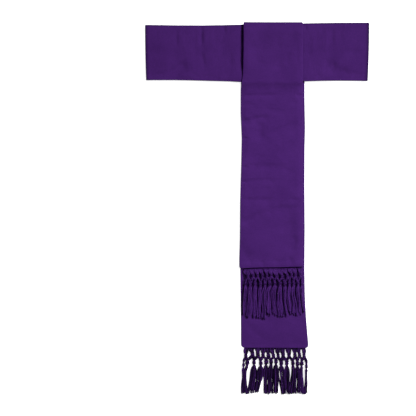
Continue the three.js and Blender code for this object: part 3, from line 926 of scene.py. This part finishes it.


# The thick strands low in each lock, which keep it closed. Their dark tones, most of all in the rear
# fringe, add painted shade low in the locks.
def corePaths(side, locks):
    paths = []
    for lock in sum(locks, []):
        top = hemAt(side, lock["knot"]) - lock["top"] - 2.0
        for n in range(fringe["cores"]):
            aside = (n - (fringe["cores"] - 1) / 2) * fringe["coreGap"]
            course = lockCourse(side, lock, top, aside, random.uniform(-5, -2), coreHeight, 0.1)
            paths.append((smoothPath(course, 2), random.choice(side["coreTones"])))
    return paths


# Slack strands under the knots, behind the openings of the lattice. Their darkest tones are painted
# shadow in the openings.
def shadowStrandPaths(side):
    paths = []
    left, right = side["ends"]
    for n in range(side["under"]):
        x = mix(left + 1, right - 1, (n + 0.5) / side["under"])
        course = []
        for reach in (0.5, 9, 18, 27, 38):
            wander = x - 0.04 * reach + random.uniform(-1.3, 1.3)
            low = side["floor"] + fringe["coreRadius"] + random.uniform(0.1, 0.5)
            course.append(Vector((wander, hemAt(side, x) - side["gap"] - reach, low)))
        tones = side["underTones"] if x > side["underFrom"] else side["underLight"]
        paths.append((smoothPath(course, 2), random.choice(tones)))
    return paths


# One thread from the heading through both rows of knots to the foot of its tassel.
def threadPath(side, bundle, i, locks):
    count = fringe["threads"]
    share = (i + 0.5) / count
    low = side["floor"] + fringe["radius"] + 0.1
    middle = side["floor"] + fringe["knotHeight"]
    rootX = mix(bundle["rootLeft"], bundle["rootRight"], share) + side["lean"] * bundle["slack"]
    knotX, knotY = bundle["x"], bundle["y"]
    grip, thick = side["grip"]
    hold = grip * bundle["size"]
    number = (i * 19) % count
    right = (share > 0.5) != (random.random() < 0.14)
    index = bundle["index"] + (1 if right else 0)
    tassel = side["tassels"][index]
    nextX, nextY = tassel[0], hemAt(side, tassel[0]) - tassel[1]
    root = Vector((rootX, hemAt(side, rootX) - side["gap"], low + 1.1 * (i % 3) + 0.2 * random.random()))
    points = [root]
    for t in (0.36, 0.7):
        sx, sz = bundleSpot(number, count, bundle["twist"] * t)
        x = mix(rootX, knotX, t ** bundle["gather"]) + sx * hold * t * 0.9
        x += bundle["bends"][2] * math.sin(math.pi * t)
        y = mix(root.y, knotY + 2.6, t)
        points.append(Vector((x, y, mix(low + 1.4, middle, ease(t * 1.2)) + sz * thick * t)))
    sx, sz = bundleSpot(number, count, bundle["twist"])
    points.append(Vector((knotX + sx * hold, knotY + 2.4, middle + sz * thick)))
    points.append(Vector((knotX + sx * hold, knotY - 2.4, middle + sz * thick)))
    away = 1 if right else -1
    between = points[-1].lerp(Vector((nextX, nextY + 2.6, middle)), 0.5)
    turn = 1 if right else 0
    cord = side["cord"] * bundle["cords"][turn] * sx + bundle["bends"][turn]
    between += Vector((away * 0.4 + cord, 0.6 + sz, 2.0 * sz - 0.4))
    points.append(between)
    sx, sz = bundleSpot((number * 7) % count, count, 1.0)
    squeeze = grip * (0.65 if index in (0, len(side["tassels"]) - 1) else 1.0)
    points.append(Vector((nextX + sx * squeeze, nextY + 2.4, middle + sz * thick)))
    points.append(Vector((nextX + sx * squeeze, nextY - 2.6, middle + sz * thick)))
    lock = random.choice(locks[index])
    points += tasselPoints(side, lock, points[-1])
    tone = lock["tone"] if random.random() < 0.45 else random.choice(side["tones"])
    return smoothPath(points, 2), tone


def bundlesOf(side):
    bundles = []
    first = side["firstKnots"]
    for k, x in enumerate(first):
        leftGap = first[k - 1] if k > 0 else 2 * side["ends"][0] - x
        rightGap = first[k + 1] if k < len(first) - 1 else 2 * side["ends"][1] - x
        bundles.append({
            "index": k,
            "x": x,
            "y": hemAt(side, x) - side["drop"] + random.uniform(-2.8, 2.8),
            "rootLeft": mix(x, leftGap, 0.49),
            "rootRight": mix(x, rightGap, 0.49),
            "twist": random.uniform(1.2, 2.6),
            "slack": random.uniform(0.6, 1.5) if 0 < k < len(first) - 1 else 0.1,
            "gather": random.uniform(1.5, 3.0),
            "size": random.uniform(0.75, 1.1),
            "cords": (random.uniform(0.5, 1.5), random.uniform(0.5, 1.5)),
            "bends": [random.uniform(-1.5, 1.5) for _ in range(3)],
        })
    return bundles


# A knot: strands wound round the bundle on a slant, some one way and some the other.
def knotPaths(side, x, y, size, wraps):
    middle = Vector((x, y, side["floor"] + fringe["knotHeight"] + 0.1))
    grip, thick = side["grip"]
    lean = random.uniform(0.35, 0.75)
    leaning = min(wraps, fringe["leanWraps"])
    crossing = fringe["wraps"] - fringe["leanWraps"]
    paths = []
    for n in range(wraps):
        if n < leaning:
            shift = (n - (leaning - 1) / 2) * fringe["wrapGap"]
            slant, over = lean, 0.5
        else:
            shift = (n - leaning - (crossing - 1) / 2) * fringe["crossGap"]
            slant, over = -0.9 * lean, 0.9
        wide = (grip + over) * size * (1 - 0.03 * shift * shift)
        path = []
        for i in range(17):
            turn = 2 * math.pi * i / 16
            out = wide * math.cos(turn)
            up = (thick + 0.55) * math.sin(turn)
            path.append(middle + Vector((out, shift + slant * out + 0.5 * up, up)))
        paths.append((path, side["knotTones"][(n + int(abs(x))) % 5]))
    return paths


def fringeKnots(side, bundles):
    paths = []
    wraps = fringe["wraps"]
    last = len(side["tassels"]) - 1
    for bundle in bundles:
        x, y, k = bundle["x"], bundle["y"], bundle["index"]
        paths += knotPaths(side, x, y, bundle["size"], wraps)
        for turn, tassel in enumerate(side["tassels"][k:k + 2]):
            t = random.uniform(0.42, 0.6)
            low = hemAt(side, tassel[0]) - tassel[1]
            wide = side["cord"] * bundle["cords"][turn] * random.uniform(0.7, 0.9) + 0.6
            middle = mix(x, tassel[0], t) + bundle["bends"][turn] + 0.8 * (turn - 0.5)
            paths += knotPaths(side, middle, mix(y, low, t) + 0.6, wide / (side["grip"][0] + 0.5), 3)
    for n, (x, drop, *_) in enumerate(side["tassels"]):
        size = 0.7 if n in (0, last) else random.uniform(0.9, 1.2)
        paths += knotPaths(side, x, hemAt(side, x) - drop, size, wraps)
    return paths


def fringePaths(side, bundles, locks):
    numbers = range(fringe["threads"])
    return [threadPath(side, bundle, i, locks) for bundle in bundles for i in numbers]


# The woven heading that the threads hang from, tucked low behind the hem's edge. Its dark thread tone 3
# is painted shade under the hem.
def fringeHeading(side):
    name = side["name"] + "Heading"
    left, right = side["ends"]
    bm = bmesh.new()
    bmesh.ops.create_grid(bm, x_segments=160, y_segments=4, size=0.5)
    uvLayer = bm.loops.layers.uv.new("clothUv")
    for face in bm.faces:
        for loop in face.loops:
            loop[uvLayer].uv = (loop.vert.co.x * (right - left) * mm, loop.vert.co.y * 3.2 * mm)
    for vert in bm.verts:
        x = mix(left, right, vert.co.x + 0.5)
        y = hemAt(side, x) + side["tuck"] - (0.5 - vert.co.y) * side["heading"]
        z = side["floor"] + fringe["headingRise"] + 0.05 * math.sin(x * 2.6)
        vert.co = Vector((x, y, z)) * mm
    mesh = bpy.data.meshes.new(name)
    bm.to_mesh(mesh)
    bm.free()
    mesh.shade_smooth()
    mesh.materials.append(threadMaterials[3])
    strip = bpy.data.objects.new(name, mesh)
    bpy.context.scene.collection.objects.link(strip)
    thickness = strip.modifiers.new("thickness", "SOLIDIFY")
    thickness.thickness = fringe["headingThick"] * mm
    thickness.offset = 0
    return strip


fringePieces = {}
for side, node in ((frontFringe, "front_fringe"), (rearFringe, "rear_fringe")):
    bundles = bundlesOf(side)
    locks = [partLocks(side, tassel) for tassel in side["tassels"]]
    paths = fringePaths(side, bundles, locks)
    lowest = side["lowest"]
    threads = spinThreads(side["name"] + "Threads", paths, fringe["radius"], lowest, fringe["loosen"])
    paths = corePaths(side, locks) + shadowStrandPaths(side)
    cores = spinThreads(side["name"] + "Cores", paths, fringe["coreRadius"], lowest)
    paths = fringeKnots(side, bundles)
    knots = spinThreads(side["name"] + "Knots", paths, fringe["wrapRadius"], lowest)
    heading = fringeHeading(side)
    fringePieces[node] = [threads, cores, knots, heading]
    print(side["name"], "made", len(threads.data.polygons), "faces")

# Each piece rides the one body and stands for its solid.
for piece, node in ((bandCloth, "waistband"), (frontCloth, "front_tail"), (rearCloth, "rear_tail")):
    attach(piece, "root")
    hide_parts(node)
for node, pieces in fringePieces.items():
    for piece in pieces:
        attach(piece, "root")
    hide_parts(node)

print("pieces placed")

studio = {
    "floor": (0.92, 0.92, 0.92, 1),
    "keyFrom": (6.9, 6.4, 8.1),    # metres from the middle of the cincture
    "keySize": 2.3,
    "keyPower": 2230,
    "spotFrom": (0.7, 0.65, 2.3),
    "spotAt": (0.02, -0.33, 0.0),
    "spotCone": 20.5,      # degrees
    "spotPower": 63,
    "spotSize": 0.12,
    "sky": 0.085,
    "floorGlow": 0.8,
    "floorHalf": 6,
    "floorDrop": 0.0003,
}


def layFloor():
    f = Finish("studioFloor")
    material = f.done({
        "Base Color": studio["floor"],
        "Roughness": 0.9,
        "Emission Color": (1, 1, 1, 1),
        "Emission Strength": studio["floorGlow"],
    })
    bm = bmesh.new()
    bmesh.ops.create_grid(bm, x_segments=1, y_segments=1, size=studio["floorHalf"])
    for vert in bm.verts:
        vert.co.z = -studio["floorDrop"]
    mesh = bpy.data.meshes.new("studioFloor")
    bm.to_mesh(mesh)
    bm.free()
    mesh.materials.append(material)
    floor = bpy.data.objects.new("studioFloor", mesh)
    bpy.context.scene.collection.objects.link(floor)


def addPanel(name, place, target, size, power):
    data = bpy.data.lights.new(name, "AREA")
    data.shape = "SQUARE"
    data.size = size
    data.energy = power
    panel = bpy.data.objects.new(name, data)
    panel.location = place
    aim = Vector(target) - Vector(place)
    panel.rotation_euler = aim.to_track_quat("-Z", "Y").to_euler()
    bpy.context.scene.collection.objects.link(panel)


# A wide soft spot from the same side as the panel, brightest over the middle of the falls.
def addSpot(name, away, target, cone, power):
    data = bpy.data.lights.new(name, "SPOT")
    data.energy = power
    data.spot_size = math.radians(cone)
    data.spot_blend = 1.0
    data.shadow_soft_size = studio["spotSize"]
    spot = bpy.data.objects.new(name, data)
    spot.location = Vector(target) + Vector(away)
    spot.rotation_euler = (-Vector(away)).to_track_quat("-Z", "Y").to_euler()
    bpy.context.scene.collection.objects.link(spot)


def lightStudio():
    middle = Vector((-0.03, -0.35, 0))
    addPanel("keyLight", middle + Vector(studio["keyFrom"]), middle, studio["keySize"],
             studio["keyPower"])
    addSpot("spotLight", studio["spotFrom"], studio["spotAt"], studio["spotCone"], studio["spotPower"])
    world = bpy.data.worlds.new("studioWorld")
    bpy.context.scene.world = world
    world.use_nodes = True
    background = world.node_tree.nodes["Background"]
    background.inputs["Color"].default_value = (1, 1, 1, 1)
    background.inputs["Strength"].default_value = studio["sky"]
    bpy.context.scene.view_settings.view_transform = "Standard"


layFloor()
lightStudio()
print("studio lit")
